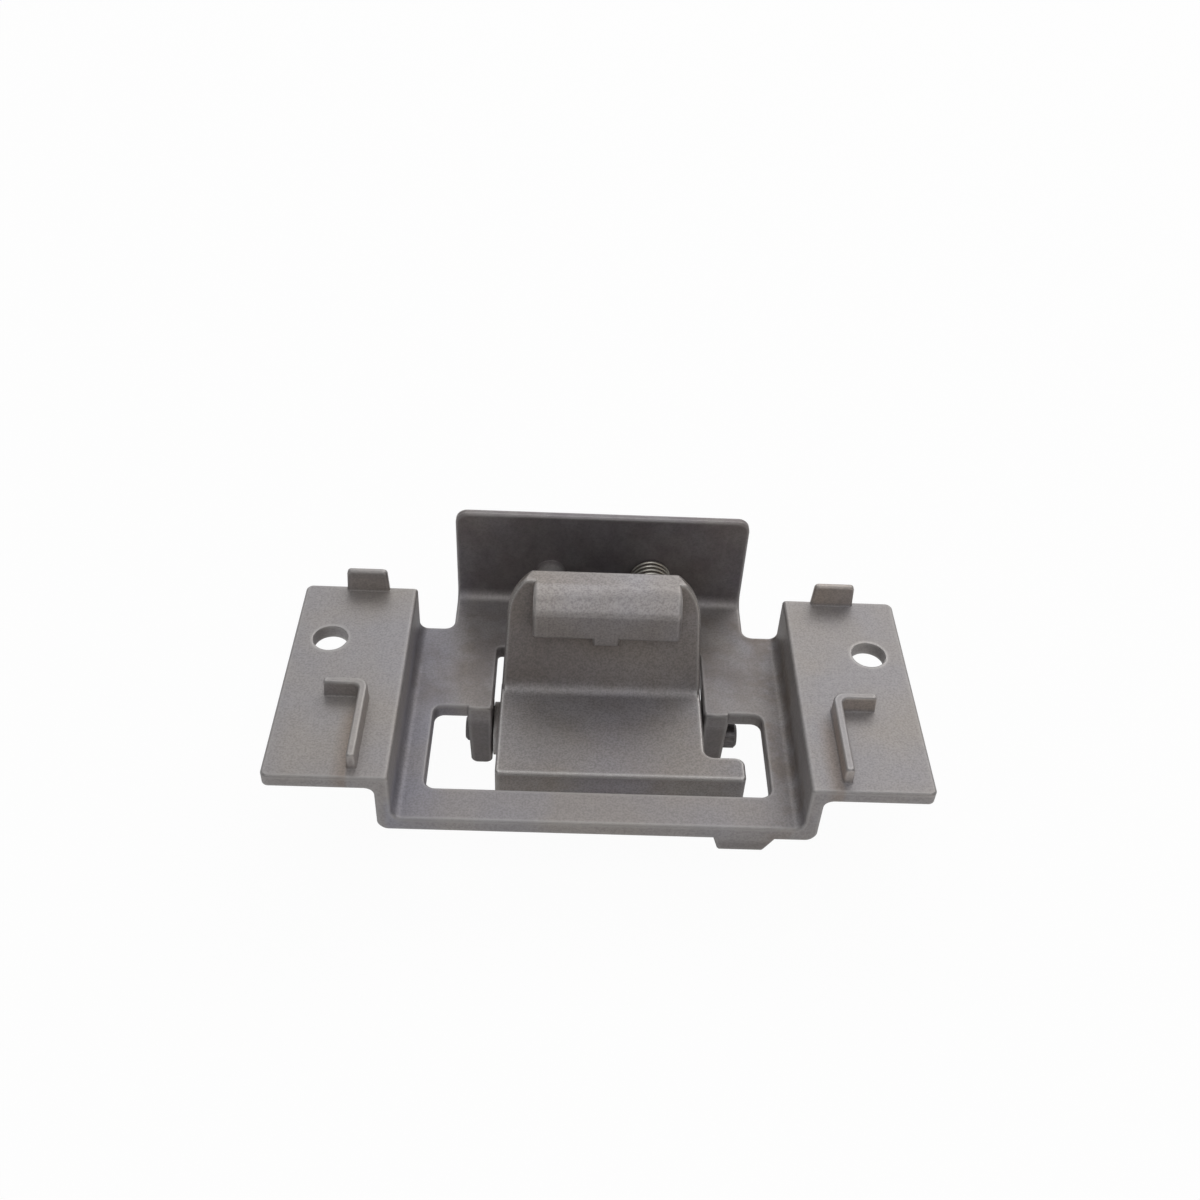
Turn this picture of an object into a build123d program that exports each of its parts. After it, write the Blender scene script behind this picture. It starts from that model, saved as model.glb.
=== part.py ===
from build123d import *
from math import radians, sin, tan
import os

# Oven door latch: a die-cast bracket, a latch lever on a steel pin, and the spring behind it.
# Lengths are in mm. While it is modelled, X runs to the right, Y runs back from the bracket's
# front edge and Z runs up from the top of its base plate. The finished pieces are moved so that
# the origin lies midway between the two screw holes, on the underside of the ears.

# Bracket, hat section
overall_width = 80.0
plate_depth = 34.0
channel_width = 50.0
step_height = 7.25
ear_thickness = 1.9
base_thickness = 2.1
step_thickness = 1.8
crest_radius = 0.5
foot_radius = 1.2
underside_radius = 1.4
ear_corner_radius = 0.9
edge_break = 0.22

# Screw holes in the ears
hole_diameter = 4.5
hole_from_end = 4.7
hole_from_front = 23.6

# Upright tabs on the rear edge of the ears
tab_inner_x = 28.7
tab_width = 5.8
tab_height = 3.35
tab_thickness = 0.9
tab_draft = 0.25
tab_corner_radius = 0.6

# L-shaped ribs on the ears
rib_inner_x = 28.8
rib_thickness = 1.25
rib_height = 2.3
rib_front = 1.4
rib_length = 13.05
rib_foot_length = 5.7
rib_draft_angle = 2.0
rib_inner_radius = 0.8
rib_outer_radius = 1.6
rib_edge_break = 0.18

# Window in the base and the lever's cut-out behind it
window_width = 43.2
window_front = 5.1
window_depth = 13.9
window_radius = 1.3
cutout_width = 27.9
cutout_depth = 11.4
cutout_radius = 0.6

# Rear wall
wall_width = 40.6
wall_front = 41.0
wall_height = 14.85
wall_tip = 1.2
wall_root = 1.7
wall_corner_radius = 1.7
bend_radius = 1.6
tongue_radius = 1.4

# Spring studs on the rear wall
stud_diameter = 4.1
stud_length = 3.0
stud_spacing = 14.0
stud_height = 5.0
stud_tip_chamfer = 0.5

# Lugs under the base that hold the pin
lug_thickness = 3.2
lug_depth = 6.0
lug_drop = 10.7
lug_draft = 0.35
lug_step = 0.4
lug_setback = 0.15
lug_corner_radius = 0.9

# Small tab under the front edge
front_tab_x = 14.2
front_tab_width = 7.6
front_tab_height = 2.2
front_tab_thickness = 1.6
front_tab_side = 0.7
front_tab_chamfer = 1.3

# Pivot pin
pin_diameter = 3.5
pin_drop = 6.9
pin_left_end = 0.5
pin_right_end = 1.8
pin_chamfer = 0.35
pin_seat_clearance = 0.02
pin_running_clearance = 0.05

# Lever, lower plate and arm
lever_width = 26.7
lever_offset = 0.3
lever_front = 7.7
lever_thickness = 2.2
crease_y = 22.4
crease_radius = 1.8
lip_height = 4.2
lip_thickness = 2.0
lip_root_radius = 0.8
arm_length = 5.05
arm_depth = 3.75
arm_root_radius = 1.2
arm_tip_radius = 1.2
lever_corner_radius = 0.5

# Lever, upper plate
upper_angle = 65.0
upper_thickness = 2.4
upper_length = 17.0
upper_top_width = 24.9
upper_offset = 0.35
shoulder_radius = 6.7

# Lever, nose
nose_width = 19.4
nose_offset = 0.65
nose_top = 13.8
nose_front = 24.15
nose_slope_drop = 1.65
nose_slope_run = 1.85
nose_bottom = 7.7
nose_round = 1.2
nose_edge_radius = 0.55
nub_width = 3.6
nub_drop = 1.1
nub_depth = 1.0
nub_edge_break = 0.3

# Lever, hubs on the pin and the heel that stops it under the base
hub_diameter = 7.2
hub_length = 6.0
hub_side_clearance = 0.15
neck_depth = 5.6
heel_width = 10.0
heel_reach = 2.0
heel_thickness = 2.2
heel_clearance = 0.05

# Spring and its seats on the back of the lever
seat_diameter = 6.0
seat_proud = 0.2
seat_peg_length = 1.2
seat_peg_chamfer = 0.5
spring_diameter = 5.8
spring_wire = 0.5
spring_wire_sides = 5
spring_turns = 9.0
spring_end_clearance = 0.05

# Length of a cutting solid, past everything it cuts, and how closely a picked place is matched
reach = 2 * overall_width
near = 0.01

half_width = overall_width / 2
half_channel = channel_width / 2
hole_x = half_width - hole_from_end
ear_underside = step_height - ear_thickness
window_rear = window_front + window_depth
cutout_rear = window_rear + cutout_depth
lug_front = window_rear - lug_step
lug_inner = cutout_width / 2 + lug_setback
lug_outer = lug_inner + lug_thickness
pin_y = lug_front + lug_depth / 2
lever_left = lever_offset - lever_width / 2
lever_right = lever_offset + lever_width / 2
slope_run = 1 / tan(radians(upper_angle))
upper_run = upper_thickness / sin(radians(upper_angle))
seat_y = crease_y + upper_run + (stud_height + spring_diameter / 2) * slope_run + seat_proud


def corners(sketch, x, y):
    """Vertices of a flat sketch at (x, y) and at its mirror place (-x, y)."""
    return sketch.vertices().filter_by(lambda v: abs(abs(v.X) - x) < near and abs(v.Y - y) < near)


def corner(sketch, x, y):
    """The one vertex of a flat sketch at (x, y)."""
    return sketch.vertices().filter_by(lambda v: abs(v.X - x) < near and abs(v.Y - y) < near)


def break_edges(body, size):
    """Breaks every sharp outer edge of a solid with a small chamfer, as tumbling does to a casting."""
    probe = size / 20
    sharp = 0.5
    outer = ShapeList()
    for edge in body.edges():
        faces = [face for face in body.faces() if any(edge.is_same(other) for other in face.edges())]
        if len(faces) == 2:
            middle = edge @ 0.5
            across = faces[0].normal_at(middle) - faces[1].normal_at(middle)
            if across.length > sharp and not body.is_inside(middle + across.normalized() * probe):
                outer.append(edge)
    return chamfer(outer, size)


def both_sides(solid):
    """A solid on the right together with its mirror image on the left."""
    return solid + mirror(solid, Plane.YZ)


def along_y(section, start, length):
    """Extrudes a sketch of (x, z) points back from y = start."""
    return Pos(0, start, 0) * extrude(Plane.XZ * section, -length)


def along_x(section, start, length):
    """Extrudes a sketch of (y, z) points to the right from x = start."""
    return Pos(start, 0, 0) * extrude(Plane.YZ * section, length)


def rod_x(diameter, start, end, y, z):
    """A round bar along X between two places."""
    return Pos((start + end) / 2, y, z) * Rot(0, 90, 0) * Cylinder(diameter / 2, end - start)


def rod_y(diameter, start, end, x, z):
    """A round bar along Y between two places."""
    return Pos(x, (start + end) / 2, z) * Rot(90, 0, 0) * Cylinder(diameter / 2, end - start)


def channel():
    """The hat section: base plate, step walls and ears."""
    outer = half_channel + step_thickness
    right = [
        (half_channel, 0),
        (half_channel, step_height),
        (half_width, step_height),
        (half_width, ear_underside),
        (outer, ear_underside),
        (outer, -base_thickness),
    ]
    left = [(-x, z) for x, z in reversed(right)]
    section = make_face(Polyline(*right, *left, close=True))
    section = fillet(corners(section, half_channel, 0), foot_radius)
    section = fillet(corners(section, half_channel, step_height), crest_radius)
    section = fillet(corners(section, outer, ear_underside), foot_radius)
    section = fillet(corners(section, outer, -base_thickness), underside_radius)
    body = along_y(section, 0, plate_depth)
    ear_ends = body.edges().filter_by(Axis.Z).filter_by(lambda e: abs(e.center().X) > half_width - near)
    return fillet(ear_ends, ear_corner_radius)


def upright():
    """The tongue behind the channel, bent up into the rear wall."""
    start = plate_depth - base_thickness
    section = make_face(
        Polyline(
            (start, 0),
            (wall_front, 0),
            (wall_front, wall_height),
            (wall_front + wall_tip, wall_height),
            (wall_front + wall_root, -base_thickness),
            (start, -base_thickness),
            close=True,
        )
    )
    section = fillet(corner(section, wall_front, 0), bend_radius)
    section = fillet(corner(section, wall_front + wall_root, -base_thickness), bend_radius + wall_root)
    body = along_x(section, -wall_width / 2, wall_width)
    top_corners = body.edges().filter_by(Axis.Y).filter_by(lambda e: e.center().Z > wall_height - near)
    top_corners = top_corners.filter_by(lambda e: abs(e.center().X) > wall_width / 2 - near)
    return fillet(top_corners, wall_corner_radius)


def base_openings():
    """The window and the lever's cut-out, as a solid to take away from the base."""
    window = Pos(0, window_front + window_depth / 2) * Rectangle(window_width, window_depth)
    cutout = Pos(0, cutout_rear - (window_depth + cutout_depth) / 2)
    cutout *= Rectangle(cutout_width, window_depth + cutout_depth)
    window = fillet(window.vertices(), window_radius)
    cutout = fillet(corners(cutout, cutout_width / 2, cutout_rear), cutout_radius)
    return extrude(window + cutout, reach, both=True)


def ear_tab():
    """The upright tab on the right ear's rear edge."""
    root = step_height - ear_thickness / 2
    top = step_height + tab_height
    section = make_face(
        Polyline(
            (tab_inner_x, root),
            (tab_inner_x + tab_draft, top),
            (tab_inner_x + tab_width - tab_draft, top),
            (tab_inner_x + tab_width, root),
            close=True,
        )
    )
    section = fillet(section.vertices().group_by(Axis.Y)[-1], tab_corner_radius)
    return break_edges(along_y(section, plate_depth - tab_thickness, tab_thickness), edge_break)


def ear_rib():
    """The L-shaped rib on the right ear."""
    rear = rib_front + rib_length
    outline = make_face(
        Polyline(
            (rib_inner_x, rib_front),
            (rib_inner_x + rib_thickness, rib_front),
            (rib_inner_x + rib_thickness, rear - rib_thickness),
            (rib_inner_x + rib_foot_length, rear - rib_thickness),
            (rib_inner_x + rib_foot_length, rear),
            (rib_inner_x, rear),
            close=True,
        )
    )
    outline = fillet(corner(outline, rib_inner_x + rib_thickness, rear - rib_thickness), rib_inner_radius)
    outline = fillet(corner(outline, rib_inner_x, rear), rib_outer_radius)
    root = step_height - ear_thickness / 2
    body = Pos(0, 0, root) * extrude(outline, ear_thickness / 2 + rib_height, taper=rib_draft_angle)
    return break_edges(body, rib_edge_break)


def lug():
    """The right lug under the base, before its pin bore."""
    section = make_face(
        Polyline(
            (lug_inner, 0),
            (lug_inner, -lug_drop),
            (lug_outer - lug_draft, -lug_drop),
            (lug_outer, -base_thickness),
            (lug_outer, 0),
            close=True,
        )
    )
    section = fillet(section.vertices().group_by(Axis.Y)[0], lug_corner_radius)
    return break_edges(along_y(section, lug_front, lug_depth), edge_break)


def front_tab():
    """The small tab under the base's front edge."""
    right = front_tab_x + front_tab_width
    bottom = -base_thickness - front_tab_height
    section = make_face(
        Polyline(
            (front_tab_x, -base_thickness / 2),
            (front_tab_x, -base_thickness),
            (front_tab_x + front_tab_side, bottom),
            (right - front_tab_chamfer, bottom),
            (right, -base_thickness),
            (right, -base_thickness / 2),
            close=True,
        )
    )
    return break_edges(along_y(section, 0, front_tab_thickness), edge_break)


def stud(side):
    """One round spring stud on the rear wall."""
    tip = wall_front - stud_length
    inside = wall_front + wall_tip / 2
    body = rod_y(stud_diameter, tip, inside, side * stud_spacing / 2, stud_height)
    return chamfer(body.edges().group_by(Axis.Y)[0], stud_tip_chamfer)


def bracket():
    """The whole bracket casting."""
    body = channel() + upright()
    notches = body.edges().filter_by(Axis.Z).filter_by(
        lambda e: abs(abs(e.center().X) - wall_width / 2) < near and abs(e.center().Y - plate_depth) < near
    )
    body = break_edges(fillet(notches, tongue_radius) - base_openings(), edge_break)
    body += both_sides(ear_tab())
    body += both_sides(ear_rib())
    body += both_sides(lug())
    body += front_tab()
    for side in (-1, 1):
        body += stud(side)
        body -= Pos(side * hole_x, hole_from_front, 0) * Cylinder(hole_diameter / 2, reach)
    bore = pin_diameter + 2 * pin_seat_clearance
    return body - rod_x(bore, -reach, reach, pin_y, -pin_drop)


def lower_plate():
    """The lever's lower plate, with the lip under its front edge and the arm on its right."""
    rear = crease_y + upper_run / 2
    lip_rear = lever_front + lip_thickness
    section = make_face(
        Polyline(
            (lever_front, 0),
            (rear, 0),
            (rear, -lever_thickness),
            (lip_rear, -lever_thickness),
            (lip_rear, -lip_height),
            (lever_front, -lip_height),
            close=True,
        )
    )
    section = fillet(corner(section, lip_rear, -lever_thickness), lip_root_radius)
    body = along_x(section, -half_width, overall_width) & extrude(lever_plan(), reach, both=True)
    return break_edges(body, edge_break)


def lever_plan():
    """The lower plate's outline seen from above, open-ended towards the rear."""
    arm_rear = lever_front + arm_depth
    arm_tip = lever_right + arm_length
    outline = make_face(
        Polyline(
            (lever_left, lever_front),
            (arm_tip, lever_front),
            (arm_tip, arm_rear),
            (lever_right, arm_rear),
            (lever_right, reach),
            (lever_left, reach),
            close=True,
        )
    )
    outline = fillet(corner(outline, lever_right, arm_rear), arm_root_radius)
    outline = fillet(corner(outline, arm_tip, arm_rear), arm_tip_radius)
    outline = fillet(corner(outline, arm_tip, lever_front), lever_corner_radius)
    return fillet(corner(outline, lever_left, lever_front), lever_corner_radius)


def upper_plate():
    """The lever's slanted plate with its round shoulders, trimmed level with the nose's top."""
    half_top = upper_top_width / 2
    foot = -lever_thickness / 2
    outline = make_face(
        Polyline(
            (lever_left, foot),
            (lever_right, foot),
            (upper_offset + half_top, upper_length),
            (upper_offset - half_top, upper_length),
            close=True,
        )
    )
    outline = fillet(outline.vertices().group_by(Axis.Y)[-1], shoulder_radius)
    slant = Plane(origin=(0, crease_y, 0), x_dir=(1, 0, 0), z_dir=(0, -1, slope_run))
    body = break_edges(extrude(slant * outline, -upper_thickness), edge_break)
    return body & along_x(slanted_block(lever_front, -lever_thickness), -half_width, overall_width)


def slanted_block(front, bottom):
    """A side view up to the nose's top, with the lever's slanted back and its rounded top edge."""
    back = crease_y + upper_run
    section = make_face(
        Polyline(
            (front, nose_top),
            (front, bottom),
            (back + bottom * slope_run, bottom),
            (back + nose_top * slope_run, nose_top),
            close=True,
        )
    )
    return fillet(corner(section, back + nose_top * slope_run, nose_top), nose_edge_radius)


def crease():
    """The rounded inner corner between the two plates."""
    rise = 2 * crease_radius
    inside = upper_run / 2
    section = make_face(
        Polyline(
            (crease_y - rise, 0),
            (crease_y, 0),
            (crease_y + rise * slope_run, rise),
            (crease_y + rise * slope_run + inside, rise),
            (crease_y, -lever_thickness / 2),
            (crease_y - rise, -lever_thickness / 2),
            close=True,
        )
    )
    section = fillet(corner(section, crease_y, 0), crease_radius)
    return along_x(section, lever_left + 2 * edge_break, lever_width - 4 * edge_break)


def nose():
    """The nose block at the lever's top, as deep as the plate's back, with the nub under it."""
    slope_end = nose_top - nose_slope_drop
    slope = Polyline((nose_front, nose_top), (nose_front + nose_slope_run, nose_top), (nose_front, slope_end), close=True)
    section = slanted_block(nose_front, nose_bottom) - make_face(slope)
    section = fillet(corner(section, nose_front, slope_end), nose_round)
    section = fillet(corner(section, nose_front, nose_bottom), nose_edge_radius)
    body = along_x(section, nose_offset - nose_width / 2, nose_width)
    body = fillet(body.faces().filter_by(Axis.X).edges(), nose_edge_radius)
    nub = Pos(nose_offset, nose_front + nub_depth / 2, nose_bottom) * Box(nub_width, nub_depth, 2 * nub_drop)
    return body + break_edges(nub, nub_edge_break)


def hubs():
    """The two hubs on the pin, with the necks that carry them, before their bore."""
    hub_end = lug_inner - hub_side_clearance
    neck = make_face(
        Polyline(
            (pin_y - neck_depth / 2, -lever_thickness / 2),
            (pin_y + neck_depth / 2, -lever_thickness / 2),
            (pin_y + neck_depth / 2, -pin_drop),
            (pin_y - neck_depth / 2, -pin_drop),
            close=True,
        )
    )
    left_neck = along_x(neck, lever_left, hub_length + (-hub_end - lever_left))
    right_neck = along_x(neck, hub_end - hub_length, hub_length + (lever_right - hub_end))
    left_hub = rod_x(hub_diameter, -hub_end, -hub_end + hub_length, pin_y, -pin_drop)
    right_hub = rod_x(hub_diameter, hub_end - hub_length, hub_end, pin_y, -pin_drop)
    return left_neck + right_neck + left_hub + right_hub


def heel():
    """The heel that reaches back under the base and stops the lever."""
    top = -base_thickness - heel_clearance
    tip = cutout_rear + heel_reach
    section = make_face(
        Polyline(
            (crease_y - neck_depth / 2, -lever_thickness / 2),
            (crease_y + upper_run, -lever_thickness / 2),
            (crease_y + upper_run + base_thickness, top),
            (tip, top),
            (tip, top - heel_thickness),
            (crease_y, top - heel_thickness),
            close=True,
        )
    )
    return along_x(section, lever_offset - heel_width / 2, heel_width)


def spring_seat(side):
    """A flat seat with a peg for one spring end, on the lever's back."""
    x = side * stud_spacing / 2
    inside = crease_y + stud_height * slope_run + upper_run / 2
    seat = rod_y(seat_diameter, inside, seat_y, x, stud_height)
    peg = rod_y(stud_diameter, seat_y - seat_peg_length, seat_y + seat_peg_length, x, stud_height)
    return seat + chamfer(peg.edges().group_by(Axis.Y)[-1], seat_peg_chamfer)


def latch_lever():
    """The whole lever casting."""
    body = lower_plate() + upper_plate() + crease() + nose()
    body += hubs()
    body += heel()
    for side in (-1, 1):
        body += spring_seat(side)
    bore = pin_diameter + 2 * pin_running_clearance
    return body - rod_x(bore, -reach, reach, pin_y, -pin_drop)


def pivot_pin():
    """The steel pin through both lugs and the lever."""
    body = rod_x(pin_diameter, -lug_outer - pin_left_end, lug_outer + pin_right_end, pin_y, -pin_drop)
    return chamfer(body.edges(), pin_chamfer)


def return_spring():
    """The coil spring between the lever's right seat and the rear wall, over the right stud."""
    start = seat_y + spring_end_clearance + spring_wire / 2
    end = wall_front - spring_end_clearance - spring_wire / 2
    radius = (spring_diameter - spring_wire) / 2
    helix = Helix((end - start) / spring_turns, end - start, radius)
    wire_section = Plane(origin=helix @ 0, z_dir=helix % 0) * RegularPolygon(spring_wire / 2, spring_wire_sides)
    coil = sweep(wire_section, path=helix, is_frenet=True)
    return Pos(stud_spacing / 2, start, stud_height) * Rot(-90, 0, 0) * coil


pieces = {
    "bracket": bracket(),
    "latch_lever": latch_lever(),
    "pivot_pin": pivot_pin(),
    "return_spring": return_spring(),
}
to_mount = Pos(0, -hole_from_front, -ear_underside)
os.makedirs("parts", exist_ok=True)
for name, piece in pieces.items():
    export_step(to_mount * piece, f"parts/{name}.step")
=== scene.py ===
"""Dresses the oven door latch: cast finishes, a coil spring, a white sweep, lamps and a camera."""
from __future__ import annotations

import logging
import math
from dataclasses import dataclass
from enum import Enum

import bmesh
import bpy
from mathutils import Matrix, Vector

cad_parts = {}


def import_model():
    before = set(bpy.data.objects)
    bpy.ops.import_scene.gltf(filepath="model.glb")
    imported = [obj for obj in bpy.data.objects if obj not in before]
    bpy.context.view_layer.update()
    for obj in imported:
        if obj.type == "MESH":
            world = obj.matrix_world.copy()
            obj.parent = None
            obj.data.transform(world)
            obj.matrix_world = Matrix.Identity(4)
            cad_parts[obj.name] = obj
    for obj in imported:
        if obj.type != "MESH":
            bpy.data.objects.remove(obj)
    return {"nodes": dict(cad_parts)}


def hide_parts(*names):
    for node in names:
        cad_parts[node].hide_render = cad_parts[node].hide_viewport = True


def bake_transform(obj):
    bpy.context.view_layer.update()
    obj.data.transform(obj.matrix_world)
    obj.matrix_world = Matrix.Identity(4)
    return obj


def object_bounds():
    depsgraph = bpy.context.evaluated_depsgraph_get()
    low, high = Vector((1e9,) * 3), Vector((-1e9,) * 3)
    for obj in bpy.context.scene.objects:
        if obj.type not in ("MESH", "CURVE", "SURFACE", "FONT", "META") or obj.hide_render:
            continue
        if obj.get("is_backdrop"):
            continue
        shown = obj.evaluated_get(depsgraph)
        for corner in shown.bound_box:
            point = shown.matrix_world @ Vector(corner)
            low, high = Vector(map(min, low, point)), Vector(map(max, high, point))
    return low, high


LOG = logging.getLogger("latch")
MM = 0.001

Band = tuple[float, float]
Colour = tuple[float, float, float]
Point = tuple[float, float, float]
Socket = bpy.types.NodeSocket

FULL: Band = (0.0, 1.0)
WHITE: Colour = (1.0, 1.0, 1.0)
PLAIN_DETAIL = 2.0
CLOUDY_DETAIL = 3.0

# Sockets of the colour mix node by place, because its names stand for several kinds of data
MIX_FACTOR = 0
MIX_FIRST = 6
MIX_SECOND = 7
MIX_RESULT = 2


class Body(str, Enum):
    """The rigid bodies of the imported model."""

    FRAME = "frame"
    LEVER = "lever"


class Node(str, Enum):
    """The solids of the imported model."""

    BRACKET = "bracket"
    LEVER = "latch_lever"
    PIN = "pivot_pin"
    SPRING = "return_spring"


class NodeWeb:
    """A small builder for node trees, so that a finish reads as a list of steps."""

    def __init__(self, tree: bpy.types.NodeTree) -> None:
        """Empties the tree that the finish is built in."""
        self.tree = tree
        tree.nodes.clear()

    def add(self, kind: str, **values: object) -> bpy.types.Node:
        """Adds a node and sets its plain properties.

        Args:
            kind: the node's class name.
            values: properties of the node by name.

        Returns:
            The new node.
        """
        node = self.tree.nodes.new(kind)
        for name, value in values.items():
            setattr(node, name, value)
        return node

    def link(self, source: Socket, target: Socket) -> None:
        """Joins an output to the input it feeds."""
        self.tree.links.new(source, target)

    def math(self, operation: str, first: Socket | float, second: Socket | float = 0.0) -> Socket:
        """A math step on sockets or numbers.

        Args:
            operation: the math node's operation.
            first: left operand.
            second: right operand.

        Returns:
            The result's socket.
        """
        node = self.add("ShaderNodeMath", operation=operation)
        for slot, value in enumerate((first, second)):
            if isinstance(value, (int, float)):
                node.inputs[slot].default_value = value
            else:
                self.link(value, node.inputs[slot])
        return node.outputs[0]

    def noise(self, place: Socket, scale: float, detail: float, rough: float = 0.5) -> Socket:
        """A noise pattern.

        Args:
            place: texture coordinates.
            scale: lumps in each unit of the coordinates.
            detail: octaves of finer lumps.
            rough: how strong the finer lumps are.

        Returns:
            The noise factor's socket.
        """
        node = self.add("ShaderNodeTexNoise")
        node.inputs["Scale"].default_value = scale
        node.inputs["Detail"].default_value = detail
        node.inputs["Roughness"].default_value = rough
        self.link(place, node.inputs["Vector"])
        return node.outputs["Fac"]

    def spread(self, value: Socket, band: Band, target: Band = FULL) -> Socket:
        """Maps a range of a value onto another, clamped.

        Args:
            value: the socket to map.
            band: the value at the new range's start and at its end.
            target: the new range's start and end.

        Returns:
            The mapped value's socket.
        """
        node = self.add("ShaderNodeMapRange")
        self.link(value, node.inputs["Value"])
        ends = {"From Min": band[0], "From Max": band[1], "To Min": target[0], "To Max": target[1]}
        for name, number in ends.items():
            node.inputs[name].default_value = number
        return node.outputs["Result"]

    def mix(self, factor: Socket, first: Socket | Colour, second: Socket | Colour) -> Socket:
        """Mixes two colours.

        Args:
            factor: share of the second colour.
            first: colour or socket at factor 0.
            second: colour or socket at factor 1.

        Returns:
            The mixed colour's socket.
        """
        node = self.add("ShaderNodeMix", data_type="RGBA")
        self.link(factor, node.inputs[MIX_FACTOR])
        for slot, value in ((MIX_FIRST, first), (MIX_SECOND, second)):
            if isinstance(value, tuple):
                node.inputs[slot].default_value = (*value, 1.0)
            else:
                self.link(value, node.inputs[slot])
        return node.outputs[MIX_RESULT]

    def blend(self, mode: str, first: Socket, second: Socket) -> Socket:
        """Blends one colour fully over another.

        Args:
            mode: the blend mode.
            first: the lower colour.
            second: the upper colour.

        Returns:
            The blended colour's socket.
        """
        node = self.add("ShaderNodeMix", data_type="RGBA", blend_type=mode)
        node.inputs[MIX_FACTOR].default_value = 1.0
        self.link(first, node.inputs[MIX_FIRST])
        self.link(second, node.inputs[MIX_SECOND])
        return node.outputs[MIX_RESULT]

    def bump(self, height: Socket, strength: float, depth_mm: float, over: Socket | None = None) -> Socket:
        """Bends the normal by a pattern of heights.

        Args:
            height: the pattern.
            strength: how much of the bend is used.
            depth_mm: how high the pattern stands.
            over: the normal that is bent, or none for the face's own.

        Returns:
            The bent normal's socket.
        """
        node = self.add("ShaderNodeBump")
        node.inputs["Strength"].default_value = strength
        node.inputs["Distance"].default_value = depth_mm * MM
        self.link(height, node.inputs["Height"])
        if over is not None:
            self.link(over, node.inputs["Normal"])
        return node.outputs[0]

    def millimetres(self) -> Socket:
        """Object coordinates counted in millimetres.

        Returns:
            The coordinates' socket.
        """
        place = self.add("ShaderNodeTexCoord")
        scaled = self.add("ShaderNodeVectorMath", operation="SCALE")
        scaled.inputs["Scale"].default_value = 1 / MM
        self.link(place.outputs["Object"], scaled.inputs[0])
        return scaled.outputs[0]

    def join(self, share: Socket, first: Socket, second: Socket) -> Socket:
        """Joins two shaders.

        Args:
            share: share of the second shader.
            first: the shader at share 0.
            second: the shader at share 1.

        Returns:
            The joined shader's socket.
        """
        node = self.add("ShaderNodeMixShader")
        for slot, socket in enumerate((share, first, second)):
            self.link(socket, node.inputs[slot])
        return node.outputs[0]

    def surface(self, shader: Socket, kind: str = "ShaderNodeOutputMaterial") -> None:
        """Hands the whole shader to the tree's output node, which is of the given class."""
        out = self.add(kind)
        self.link(shader, out.inputs["Surface"])


def blank_material(name: str) -> tuple[bpy.types.Material, NodeWeb]:
    """Makes a material without any nodes.

    Args:
        name: the material's name.

    Returns:
        The material and the builder of its tree.
    """
    material = bpy.data.materials.new(name)
    material.use_nodes = True
    return material, NodeWeb(material.node_tree)


def stand(name: str, mesh: bmesh.types.BMesh, material: bpy.types.Material) -> bpy.types.Object:
    """Puts a drawn mesh into the scene and lets go of it.

    Args:
        name: the object's name.
        mesh: the mesh, which is freed.
        material: what it is made of.

    Returns:
        The new object.
    """
    data = bpy.data.meshes.new(name)
    mesh.to_mesh(data)
    mesh.free()
    data.materials.append(material)
    thing = bpy.data.objects.new(name, data)
    bpy.context.scene.collection.objects.link(thing)
    return thing


@dataclass(frozen=True)
class Limit:
    """One side of a zone: it fades in along a direction between two distances in millimetres."""

    along: Point
    start: float
    stop: float

    def weight(self, web: NodeWeb, place: Socket) -> Socket:
        """How far a spot lies past the limit.

        Args:
            web: the tree being built.
            place: coordinates in millimetres.

        Returns:
            A socket from 0 to 1.
        """
        dot = web.add("ShaderNodeVectorMath", operation="DOT_PRODUCT")
        dot.inputs[1].default_value = self.along
        web.link(place, dot.inputs[0])
        return web.spread(dot.outputs["Value"], (self.start, self.stop))


@dataclass(frozen=True)
class Zone:
    """A stretch of the casting whose colour is multiplied by a tint: a few zones are stains, and most are
    painted light and painted shade.
    """

    tint: Colour
    limits: tuple[Limit, ...]
    patch_mm: float = 0.0
    patch_detail: float = 4.0
    patch_rough: float = 0.6
    patch_band: Band = (0.4, 0.62)

    def stain(self, web: NodeWeb, place: Socket, colour: Socket) -> Socket:
        """Tints the skin inside the zone, in patches where they have a size.

        Args:
            web: the tree being built.
            place: coordinates in millimetres.
            colour: the skin's colour so far.

        Returns:
            The colour's socket.
        """
        weight = self.limits[0].weight(web, place)
        for limit in self.limits[1:]:
            weight = web.math("MULTIPLY", weight, limit.weight(web, place))
        if self.patch_mm > 0:
            patch = web.noise(place, 1 / self.patch_mm, self.patch_detail, self.patch_rough)
            weight = web.math("MULTIPLY", weight, web.spread(patch, self.patch_band))
        return web.blend("MULTIPLY", colour, web.mix(weight, WHITE, self.tint))


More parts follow.
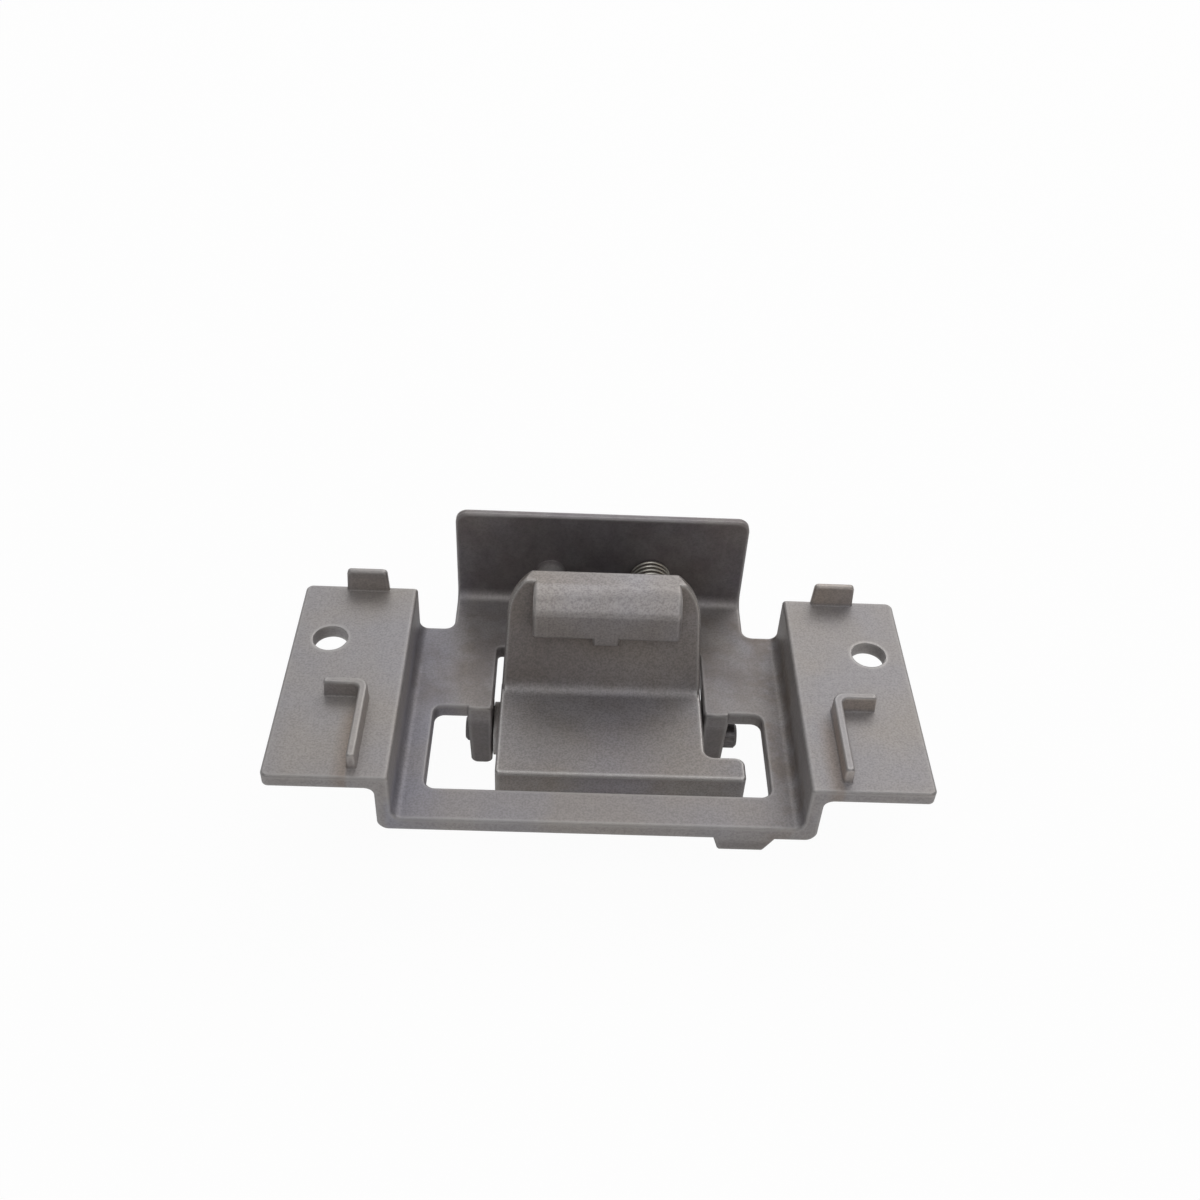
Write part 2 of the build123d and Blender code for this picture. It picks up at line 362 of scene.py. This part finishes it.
@dataclass(frozen=True)
class CastFinish:
    """Tumbled die-cast zinc: sandy grain, soft clouds of tone and tint, painted shade in recesses, zones
    of stain, painted light and painted shade, and rubbed edges brightened both by wear and as painted
    highlight.
    """

    name: str
    light: Colour
    dark: Colour
    worn_sheen_colour: Colour
    roughness: float
    sand: float
    worn_sheen_share: float
    zones: tuple[Zone, ...]
    metallic: float = 0.45
    # Clouds of tone, which also sway the gloss
    cloud_mm: float = 5.0
    cloud_band: Band = (0.32, 0.68)
    gloss_band: Band = (0.3, 0.7)
    gloss_sway: Band = (-0.04, 0.05)
    # Stains of tint
    stain_mm: float = 11.0
    stain_band: Band = (0.36, 0.64)
    warm: Colour = (1.03, 1.0, 0.965)
    cool: Colour = (0.98, 0.985, 1.03)
    # Sand, fine and coarse
    grain_mm: float = 0.27
    grain_rough: float = 0.6
    coarse_pitch: float = 0.4
    coarse_share: float = 0.3
    sand_band: Band = (0.54, 0.8)
    sand_tone: float = 0.3
    # Painted shade in recesses: darker where nearby surfaces enclose a spot
    painted_shade_mm: float = 7.0
    painted_shade_band: Band = (0.62, 0.15)
    painted_shade_share: float = 0.12
    painted_shade_tone: float = 0.4
    # Rubbed edges, which are worn and also brightened as painted highlight
    wear_mm: float = 0.6
    wear_band: Band = (0.96, 0.68)
    open_band: Band = (0.35, 0.6)
    fleck_band: Band = (0.35, 0.6)
    fleck_least: float = 0.4
    rub_polish: float = 0.2
    rub_full: float = 0.8
    rub_metallic: float = 0.95
    # Relief
    edge_mm: float = 0.35
    swell_pitch: float = 0.55
    swell_strength: float = 0.35
    swell_mm: float = 0.05
    skin_strength: float = 0.6
    skin_mm: float = 0.02
    # Rays that feel for edges and recesses
    wear_rays: int = 8
    feel_rays: int = 6

    def build(self) -> bpy.types.Material:
        """Makes the material.

        Returns:
            The cast metal material.
        """
        material, web = blank_material(self.name)
        place = web.millimetres()
        cloud = web.noise(place, 1 / self.cloud_mm, CLOUDY_DETAIL)
        grain = web.noise(place, 1 / self.grain_mm, PLAIN_DETAIL, self.grain_rough)
        feel = web.add("ShaderNodeAmbientOcclusion", samples=self.feel_rays)
        feel.inputs["Distance"].default_value = self.painted_shade_mm * MM
        shelter = feel.outputs["AO"]
        wear_and_sheen = self.edge_wear_and_sheen(web, shelter, grain)
        colour = self.skin_colour(web, place, cloud, grain)
        # Painted shade: enclosed spots are darkened towards the dark tone
        painted_shade = web.spread(shelter, self.painted_shade_band, (0.0, self.painted_shade_share))
        colour = web.mix(painted_shade, colour, self.darker(self.painted_shade_tone))
        # Painted highlight with real wear: open outer edges take the bright edge colour
        colour = web.mix(wear_and_sheen, colour, self.worn_sheen_colour)
        least, most = (self.roughness + sway for sway in self.gloss_sway)
        rough = web.spread(cloud, self.gloss_band, (least, most))
        rough = web.math("SUBTRACT", rough, web.math("MULTIPLY", wear_and_sheen, self.rub_polish))
        metal = web.spread(wear_and_sheen, (0.0, self.rub_full), (self.metallic, self.rub_metallic))
        shader = web.add("ShaderNodeBsdfPrincipled")
        web.link(metal, shader.inputs["Metallic"])
        web.link(colour, shader.inputs["Base Color"])
        web.link(rough, shader.inputs["Roughness"])
        web.link(self.relief(web, place, grain), shader.inputs["Normal"])
        web.surface(shader.outputs[0])
        return material

    def darker(self, tone: float) -> Colour:
        """The dark colour times a share."""
        return tuple(tone * part for part in self.dark)

    def skin_colour(self, web: NodeWeb, place: Socket, cloud: Socket, grain: Socket) -> Socket:
        """The skin's colour: clouds of tone, stains of tint, zones of stain, painted light and painted
        shade, and dark sand.

        Args:
            web: the tree being built.
            place: coordinates in millimetres.
            cloud: the clouds' noise.
            grain: the grain's noise.

        Returns:
            The colour's socket.
        """
        colour = web.mix(web.spread(cloud, self.cloud_band), self.dark, self.light)
        stain = web.noise(place, 1 / self.stain_mm, PLAIN_DETAIL)
        tint = web.mix(web.spread(stain, self.stain_band), self.warm, self.cool)
        colour = web.blend("MULTIPLY", colour, tint)
        # Zones paint light and shade on places of the casting, and a few stains
        for zone in self.zones:
            colour = zone.stain(web, place, colour)
        coarse = web.noise(place, self.coarse_pitch / self.grain_mm, PLAIN_DETAIL)
        sand = web.math("ADD", grain, web.math("MULTIPLY", coarse, self.coarse_share))
        sand = web.spread(sand, self.sand_band, (0.0, self.sand))
        return web.mix(sand, colour, self.darker(self.sand_tone))

    def edge_wear_and_sheen(self, web: NodeWeb, shelter: Socket, grain: Socket) -> Socket:
        """How far an outer edge is worn and painted bright as a highlight, broken up by the grain.

        Args:
            web: the tree being built.
            shelter: 1 in the open and less in a corner.
            grain: the grain's noise.

        Returns:
            A socket from 0 to 1.
        """
        feel = web.add("ShaderNodeAmbientOcclusion", samples=self.wear_rays, inside=True, only_local=True)
        feel.inputs["Distance"].default_value = self.wear_mm * MM
        wear_and_sheen = web.spread(feel.outputs["AO"], self.wear_band, (0.0, self.worn_sheen_share))
        wear_and_sheen = web.math("MULTIPLY", wear_and_sheen, web.spread(shelter, self.open_band))
        return web.math("MULTIPLY", wear_and_sheen, web.spread(grain, self.fleck_band, (self.fleck_least, 1.0)))

    def relief(self, web: NodeWeb, place: Socket, grain: Socket) -> Socket:
        """The cast skin's fine relief over softened edges.

        Args:
            web: the tree being built.
            place: coordinates in millimetres.
            grain: the grain's noise.

        Returns:
            The bent normal's socket.
        """
        soft = web.add("ShaderNodeBevel", samples=self.feel_rays)
        soft.inputs["Radius"].default_value = self.edge_mm * MM
        lumps = web.noise(place, self.swell_pitch, PLAIN_DETAIL)
        swell = web.bump(lumps, self.swell_strength, self.swell_mm, soft.outputs[0])
        return web.bump(grain, self.skin_strength, self.skin_mm, swell)


@dataclass(frozen=True)
class DrawnFinish:
    """Drawn steel wire or rod: fine lines along the draw, dull to bright."""

    name: str
    light: Colour
    dark: Colour
    roughness: float
    line_mm: float
    line_stretch: Point = (0.15, 1.0, 1.0)
    line_band: Band = (0.35, 0.65)
    line_strength: float = 0.3
    line_depth_mm: float = 0.01
    stain_pitch: float = 0.6
    stain_band: Band = (0.5, 0.75)
    stain_share: float = 0.5
    gloss_band: Band = (0.3, 0.7)
    gloss_sway: Band = (-0.05, 0.1)

    def build(self) -> bpy.types.Material:
        """Makes the material.

        Returns:
            The drawn steel material.
        """
        material, web = blank_material(self.name)
        place = web.millimetres()
        stretch = web.add("ShaderNodeMapping")
        stretch.inputs["Scale"].default_value = self.line_stretch
        web.link(place, stretch.inputs["Vector"])
        lines = web.noise(stretch.outputs[0], 1 / self.line_mm, CLOUDY_DETAIL)
        stain = web.noise(place, self.stain_pitch, PLAIN_DETAIL)
        colour = web.mix(web.spread(lines, self.line_band), self.dark, self.light)
        colour = web.mix(web.spread(stain, self.stain_band, (0.0, self.stain_share)), colour, self.dark)
        least, most = (self.roughness + sway for sway in self.gloss_sway)
        shader = web.add("ShaderNodeBsdfPrincipled")
        shader.inputs["Metallic"].default_value = 1.0
        web.link(colour, shader.inputs["Base Color"])
        web.link(web.spread(stain, self.gloss_band, (least, most)), shader.inputs["Roughness"])
        web.link(web.bump(lines, self.line_strength, self.line_depth_mm), shader.inputs["Normal"])
        web.surface(shader.outputs[0])
        return material


@dataclass
class SolidPiece:
    """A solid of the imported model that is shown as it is, with a finish of its own."""

    node: Node
    finish: CastFinish | DrawnFinish
    weld_mm: float = 0.002
    crease_deg: float = 42.0
    flat_weight: int = 80

    def dress(self, nodes: dict[str, bpy.types.Object]) -> None:
        """Gives the solid its finish and even shading.

        Args:
            nodes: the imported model's solids by name.
        """
        solid = nodes[self.node.value]
        material = self.finish.build()
        solid.data.materials.clear()
        solid.data.materials.append(material)
        weld = solid.modifiers.new("join_facets", "WELD")
        weld.merge_threshold = self.weld_mm * MM
        shade = solid.modifiers.new("even_shading", "NODES")
        shade.node_group = self.shading_steps()
        even = solid.modifiers.new("flat_faces", "WEIGHTED_NORMAL")
        even.mode = "FACE_AREA"
        even.weight = self.flat_weight
        even.keep_sharp = True
        LOG.info("%s gets %s", self.node.value, self.finish.name)

    def shading_steps(self) -> bpy.types.NodeTree:
        """Geometry steps that smooth faces meeting at a shallow angle and keep the rest crisp.

        Returns:
            The geometry node group, which pieces with the same angle share.
        """
        name = f"shade_under_{self.crease_deg:.0f}"
        if name in bpy.data.node_groups:
            return bpy.data.node_groups[name]
        group = bpy.data.node_groups.new(name, "GeometryNodeTree")
        for way in ("INPUT", "OUTPUT"):
            group.interface.new_socket("Geometry", in_out=way, socket_type="NodeSocketGeometry")
        web = NodeWeb(group)
        start = web.add("NodeGroupInput")
        end = web.add("NodeGroupOutput")
        faces = web.add("GeometryNodeSetShadeSmooth", domain="FACE")
        edges = web.add("GeometryNodeSetShadeSmooth", domain="EDGE")
        angle = web.add("GeometryNodeInputMeshEdgeAngle")
        shallow = web.add("FunctionNodeCompare", data_type="FLOAT", operation="LESS_THAN")
        shallow.inputs["B"].default_value = math.radians(self.crease_deg)
        web.link(angle.outputs["Unsigned Angle"], shallow.inputs["A"])
        web.link(start.outputs[0], faces.inputs["Geometry"])
        web.link(faces.outputs[0], edges.inputs["Geometry"])
        web.link(shallow.outputs[0], edges.inputs["Shade Smooth"])
        web.link(edges.outputs[0], end.inputs[0])
        return group


@dataclass
class ReturnSpring:
    """The coil spring between the lever's seat and the rear wall.

    Lengths are in millimetres. The margin is not used.
    """

    finish: DrawnFinish
    axis_x: float = 7.0
    axis_z: float = -0.35
    seat_y: float = 5.4
    wall_y: float = 17.35
    outer: float = 5.8
    wire: float = 0.5
    margin: float = 0.6
    turns: float = 14.5
    steps_per_turn: int = 28
    sides: int = 10
    small_share: float = 1e-4

    def point(self, share: float) -> Vector:
        """A point on the wire's centre line, in metres.

        Args:
            share: how far along the coil, from the wall (0) to the seat (1).

        Returns:
            The point.
        """
        turn = share * self.turns * math.tau
        radius = (self.outer - self.wire) / 2
        start, end = self.wall_y - self.wire / 2, self.seat_y + self.wire / 2
        across = self.axis_x + radius * math.cos(turn)
        depth = start + (end - start) * share
        height = self.axis_z + radius * math.sin(turn)
        return Vector((across, depth, height)) * MM

    def ring(self, mesh: bmesh.types.BMesh, share: float) -> list[bmesh.types.BMVert]:
        """Draws the wire's round section at one point.

        Args:
            mesh: the mesh being drawn.
            share: how far along the coil.

        Returns:
            The section's corners in order.
        """
        centre = self.point(share)
        ahead = (self.point(share + self.small_share) - self.point(share - self.small_share)).normalized()
        out = (centre - Vector((self.axis_x * MM, centre.y, self.axis_z * MM))).normalized()
        side = ahead.cross(out).normalized()
        corners = []
        for corner in range(self.sides):
            angle = corner / self.sides * math.tau
            offset = (out * math.cos(angle) + side * math.sin(angle)) * (self.wire / 2 * MM)
            corners.append(mesh.verts.new(centre + offset))
        return corners

    def build(self) -> bpy.types.Object:
        """Sweeps the round wire along the coil.

        Returns:
            The spring's object.
        """
        mesh = bmesh.new()
        count = round(self.turns * self.steps_per_turn)
        rings = [self.ring(mesh, step / count) for step in range(count + 1)]
        for first, second in zip(rings, rings[1:]):
            for corner in range(self.sides):
                after = (corner + 1) % self.sides
                face = mesh.faces.new((first[corner], first[after], second[after], second[corner]))
                face.smooth = True
        mesh.faces.new(rings[0])
        mesh.faces.new(list(reversed(rings[-1])))
        bmesh.ops.recalc_face_normals(mesh, faces=mesh.faces)
        return stand("return_coil", mesh, self.finish.build())

    def fit(self) -> None:
        """Puts the coil in place of its solid."""
        coil = self.build()
        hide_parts(Node.SPRING.value)
        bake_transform(coil)
        LOG.info("return_coil follows the lever, %.1f turns", self.turns)


@dataclass
class WhiteSweep:
    """A pale studio sweep: a floor under the latch that curves up behind it. Lengths are in metres."""

    floor_z: float
    half_width: float = 1.2
    front: float = -0.4
    back: float = 0.9
    curve: float = 0.35
    height: float = 0.9
    curve_steps: int = 12
    paper: Colour = (0.95, 0.95, 0.95)
    cloud_tone: float = 0.97
    cloud_pitch: float = 0.02
    eye_glow: float = 0.96
    metal_glow: float = 0.2

    def profile(self) -> list[tuple[float, float]]:
        """The sweep's side view.

        Returns:
            Points as (y, z), from the front edge to the top of the back.
        """
        points = [(self.front, self.floor_z), (self.back - self.curve, self.floor_z)]
        for step in range(1, self.curve_steps + 1):
            angle = step / self.curve_steps * math.pi / 2
            y = self.back - self.curve + self.curve * math.sin(angle)
            points.append((y, self.floor_z + self.curve * (1 - math.cos(angle))))
        points.append((self.back, self.floor_z + self.height))
        return points

    def build(self) -> None:
        """Makes the sweep and marks it as the stage."""
        mesh = bmesh.new()
        rows = []
        for y, z in self.profile():
            rows.append([mesh.verts.new((side * self.half_width, y, z)) for side in (-1, 1)])
        for first, second in zip(rows, rows[1:]):
            face = mesh.faces.new((first[0], first[1], second[1], second[0]))
            face.smooth = True
        sweep = stand("white_sweep", mesh, self.material())
        sweep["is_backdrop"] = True

    def material(self) -> bpy.types.Material:
        """Paper that is white to the eye, dimmer in the metal, and still takes a faint shadow.

        Returns:
            The paper material.
        """
        material, web = blank_material("sweep_paper")
        paper = web.add("ShaderNodeBsdfDiffuse")
        cloud = web.noise(web.millimetres(), self.cloud_pitch, PLAIN_DETAIL)
        shade = tuple(self.cloud_tone * part for part in self.paper)
        web.link(web.mix(cloud, self.paper, shade), paper.inputs["Color"])
        light = web.add("ShaderNodeEmission")
        rays = web.add("ShaderNodeLightPath")
        mirrored = web.math("MAXIMUM", rays.outputs["Is Glossy Ray"], rays.outputs["Is Transmission Ray"])
        mirrored = web.math("MULTIPLY", mirrored, self.metal_glow)
        seen = web.math("MULTIPLY", rays.outputs["Is Camera Ray"], self.eye_glow)
        share = web.math("MAXIMUM", seen, mirrored)
        web.surface(web.join(share, paper.outputs[0], light.outputs[0]))
        return material


@dataclass(frozen=True)
class SoftBox:
    """One soft studio lamp. Lengths are in metres."""

    name: str
    place: Point
    size: float
    watts: float
    colour: Colour = WHITE

    def hang(self, target: Point = (0.0, 0.0, 0.0)) -> None:
        """Hangs the lamp and turns it to the latch.

        Args:
            target: the point it faces.
        """
        data = bpy.data.lights.new(self.name, "AREA")
        data.shape = "DISK"
        data.size = self.size
        data.energy = self.watts
        data.color = self.colour
        lamp = bpy.data.objects.new(self.name, data)
        bpy.context.scene.collection.objects.link(lamp)
        lamp.location = self.place
        lamp.rotation_mode = "QUATERNION"
        lamp.rotation_quaternion = (Vector(target) - Vector(self.place)).to_track_quat("-Z", "Y")


@dataclass(frozen=True)
class PhotoCamera:
    """The camera at the photograph's place."""

    place_mm: Point = (-5.019, -123.058, 119.807)
    pitch_deg: float = 41.71
    yaw_deg: float = 2.11
    roll_deg: float = -3.28
    lens_mm: float = 39.01
    sensor_mm: float = 36.0
    clip_start: float = 0.005

    def axes(self) -> Matrix:
        """The camera's turn, from its pitch, yaw and roll.

        Returns:
            A rotation matrix with the camera's axes as columns.
        """
        pitch, yaw, roll = (math.radians(a) for a in (self.pitch_deg, self.yaw_deg, self.roll_deg))
        flat = math.cos(pitch)
        ahead = Vector((math.sin(yaw) * flat, math.cos(yaw) * flat, -math.sin(pitch)))
        level = Vector((math.cos(yaw), -math.sin(yaw), 0.0))
        down = ahead.cross(level)
        right = math.cos(roll) * level + math.sin(roll) * down
        low = -math.sin(roll) * level + math.cos(roll) * down
        return Matrix((right, -low, -ahead)).transposed()

    def set_up(self) -> None:
        """Makes the camera and hands it to the scene."""
        data = bpy.data.cameras.new("photo_camera")
        data.sensor_width = self.sensor_mm
        data.lens = self.lens_mm
        data.clip_start = self.clip_start
        camera = bpy.data.objects.new("photo_camera", data)
        bpy.context.scene.collection.objects.link(camera)
        camera.matrix_world = Matrix.Translation(Vector(self.place_mm) * MM) @ self.axes().to_4x4()
        bpy.context.scene.camera = camera


@dataclass(frozen=True)
class Surround:
    """The room round the stage: white to the eye, dim grey to the metal."""

    grey: float = 0.24

    def build(self) -> None:
        """Sets the world's light."""
        world = bpy.data.worlds.new("studio_room")
        bpy.context.scene.world = world
        world.use_nodes = True
        web = NodeWeb(world.node_tree)
        dim = web.add("ShaderNodeBackground")
        dim.inputs["Color"].default_value = (self.grey, self.grey, self.grey, 1.0)
        white = web.add("ShaderNodeBackground")
        white.inputs["Color"].default_value = (*WHITE, 1.0)
        rays = web.add("ShaderNodeLightPath")
        light = web.join(rays.outputs["Is Camera Ray"], dim.outputs[0], white.outputs[0])
        web.surface(light, "ShaderNodeOutputWorld")


RIGHT: Point = (1.0, 0.0, 0.0)
LEFT: Point = (-1.0, 0.0, 0.0)
BACK: Point = (0.0, 1.0, 0.0)
FRONT: Point = (0.0, -1.0, 0.0)
UP: Point = (0.0, 0.0, 1.0)
DOWN: Point = (0.0, 0.0, -1.0)
# Square to the lever's steep upper plate, out of its front face and into it
OFF_PLATE: Point = (0.0, -0.906, 0.423)
INTO_PLATE: Point = (0.0, 0.906, -0.423)

# Limits that several zones share
ON_BASE = Limit(DOWN, 3.6, 4.8)
BELOW_EARS = Limit(DOWN, 1.0, 3.0)
OVER_EARS = Limit(UP, 2.0, 2.5)
UNDER_RIB_TOPS = Limit(DOWN, -4.15, -3.9)
LEFT_EAR = Limit(LEFT, 20.0, 21.0)
RIGHT_EAR = Limit(RIGHT, 20.0, 21.0)
EAR_FRONT = (Limit(FRONT, 11.0, 14.0), Limit(UP, -1.0, -0.5))
ON_WALL = (Limit(BACK, 16.3, 17.1), Limit(UP, -5.4, -3.8))
IN_UPPER_PLATE = Limit(INTO_PLATE, 0.4, 0.9)
OVER_CREASE = Limit(UP, -5.2, -3.6)
ON_LOWER_PLATE = Limit(DOWN, 4.6, 6.0)

# Brown of the shadows painted beside the ribs
RIB_SHADOW_BROWN: Colour = (0.92, 0.84, 0.76)

BASE = Zone((0.87, 0.865, 0.875), (ON_BASE, Limit(BACK, -23.5, -23.0)))
# Darker patches behind the lever: partly mottled skin, partly painted shade near the wall
BASE_REAR = Zone((0.78, 0.74, 0.7), (ON_BASE, Limit(BACK, -6.0, -2.0), Limit(FRONT, -15.5, -13.0)), 6.0)
LEFT_FOOT = Zone((0.93, 0.96, 1.06), (Limit(LEFT, 18.0, 21.0), Limit(RIGHT, -26.0, -25.4), BELOW_EARS))
RIGHT_FOOT = Zone(
    (0.78, 0.72, 0.66),
    (Limit(RIGHT, 20.0, 22.0), Limit(LEFT, -26.0, -25.4), BELOW_EARS),
    4.0,
)
# Painted shade: the rear wall's face is painted darker
WALL_PAINTED_SHADE = Zone((0.68, 0.665, 0.68), ON_WALL)
WALL_CLOUDS = Zone((0.84, 0.8, 0.83), ON_WALL, 3.5)
# Painted shade: the lugs under the base are painted darker
LUGS_PAINTED_SHADE = Zone((0.74, 0.73, 0.73), (Limit(DOWN, 7.4, 8.4),))
# Painted light: the ribs and tabs on the ears are painted lighter, warmer on the right
RIGHT_RIB_PAINTED_LIGHT = Zone((1.4, 1.32, 1.22), (OVER_EARS, UNDER_RIB_TOPS, Limit(FRONT, -8.0, -7.0), RIGHT_EAR))
RIGHT_TAB_PAINTED_LIGHT = Zone(
    (1.32, 1.24, 1.14),
    (OVER_EARS, Limit(BACK, 7.0, 8.0), Limit(FRONT, -15.0, -14.0), RIGHT_EAR),
)
LEFT_RIB_PAINTED_LIGHT = Zone((1.12, 1.1, 1.1), (OVER_EARS, UNDER_RIB_TOPS, LEFT_EAR))
# Painted shadows: soft brown shadows of the ribs painted on the ears
LEFT_RIB_PAINTED_SHADOW = Zone(RIB_SHADOW_BROWN, (Limit(LEFT, 29.7, 30.2), Limit(RIGHT, -32.2, -30.6), *EAR_FRONT))
RIGHT_RIB_PAINTED_SHADOW = Zone(RIB_SHADOW_BROWN, (Limit(RIGHT, 26.6, 28.0), Limit(LEFT, -29.2, -28.7), *EAR_FRONT))
# Painted light: the nose and the top of the upper plate are painted lighter
NOSE_PAINTED_LIGHT = Zone((1.36, 1.36, 1.37), (Limit(OFF_PLATE, -0.9, -0.4), Limit(UP, 1.2, 2.0)))
PLATE_TOP_PAINTED_LIGHT = Zone((1.28, 1.28, 1.28), (IN_UPPER_PLATE, Limit(UP, 7.9, 8.3)))
# Painted shade: the upper plate is painted darker and warmer, most on its left
UPPER_PLATE_PAINTED_SHADE = Zone((0.94, 0.91, 0.89), (IN_UPPER_PLATE, OVER_CREASE, Limit(DOWN, -8.2, -7.9)))
PLATE_LEFT_PAINTED_SHADE = Zone((0.86, 0.84, 0.82), (IN_UPPER_PLATE, OVER_CREASE, Limit(LEFT, -4.0, 2.0)))
BLUE_STAIN = Zone((0.97, 0.98, 1.09), (Limit(RIGHT, -5.0, 1.0), Limit(LEFT, -10.0, -5.0), ON_LOWER_PLATE))
BROWN_STAIN = Zone((0.93, 0.89, 0.85), (ON_LOWER_PLATE,), 7.0)

BRACKET_CAST = CastFinish(
    "bracket_cast",
    light=(0.388, 0.372, 0.37),
    dark=(0.34, 0.325, 0.323),
    worn_sheen_colour=(0.58, 0.57, 0.56),
    roughness=0.48,
    sand=0.3,
    worn_sheen_share=0.5,
    zones=(
        BASE,
        BASE_REAR,
        LEFT_FOOT,
        RIGHT_FOOT,
        WALL_PAINTED_SHADE,
        WALL_CLOUDS,
        LUGS_PAINTED_SHADE,
        RIGHT_RIB_PAINTED_LIGHT,
        RIGHT_TAB_PAINTED_LIGHT,
        LEFT_RIB_PAINTED_LIGHT,
        LEFT_RIB_PAINTED_SHADOW,
        RIGHT_RIB_PAINTED_SHADOW,
    ),
)
LEVER_CAST = CastFinish(
    "lever_cast",
    light=(0.335, 0.32, 0.318),
    dark=(0.288, 0.274, 0.272),
    worn_sheen_colour=(0.74, 0.73, 0.72),
    roughness=0.48,
    sand=0.38,
    worn_sheen_share=0.8,
    zones=(NOSE_PAINTED_LIGHT, PLATE_TOP_PAINTED_LIGHT, UPPER_PLATE_PAINTED_SHADE, PLATE_LEFT_PAINTED_SHADE, BLUE_STAIN, BROWN_STAIN),
)
PIN_STEEL = DrawnFinish(
    "pin_steel",
    light=(0.2, 0.19, 0.19),
    dark=(0.12, 0.115, 0.12),
    roughness=0.4,
    line_mm=0.12,
)
COIL_STEEL = DrawnFinish(
    "coil_steel",
    light=(0.62, 0.6, 0.55),
    dark=(0.42, 0.40, 0.36),
    roughness=0.3,
    line_mm=0.1,
)

LAMPS = (
    SoftBox("overhead", (0.0, 0.0, 0.7), 0.9, 0.6),
    SoftBox("back_middle", (0.0, 0.6, 0.55), 0.5, 0.95),
    SoftBox("back_right", (0.4, 0.5, 0.55), 0.5, 1.15, (1.0, 0.965, 0.92)),
    SoftBox("back_left", (-0.4, 0.5, 0.55), 0.5, 0.3),
    SoftBox("front_top", (0.0, -0.25, 0.7), 0.5, 0.45),
    SoftBox("front_middle", (0.0, -0.5, 0.6), 0.8, 0.6),
    SoftBox("front_low_right", (0.5, -0.7, 0.15), 0.5, 0.5, (1.0, 0.84, 0.68)),
)


def main() -> None:
    """Dresses each piece of the latch and sets the stage."""
    logging.basicConfig(level=logging.INFO, format="%(name)s: %(message)s")
    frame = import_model()
    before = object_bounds()
    solids = (
        SolidPiece(Node.BRACKET, BRACKET_CAST),
        SolidPiece(Node.LEVER, LEVER_CAST),
        SolidPiece(Node.PIN, PIN_STEEL),
    )
    for solid in solids:
        solid.dress(frame["nodes"])
    ReturnSpring(COIL_STEEL).fit()
    WhiteSweep(floor_z=before[0].z).build()
    for lamp in LAMPS:
        lamp.hang()
    Surround().build()
    PhotoCamera().set_up()
    bpy.context.scene.view_settings.view_transform = "Standard"


if __name__ == "__main__":
    main()
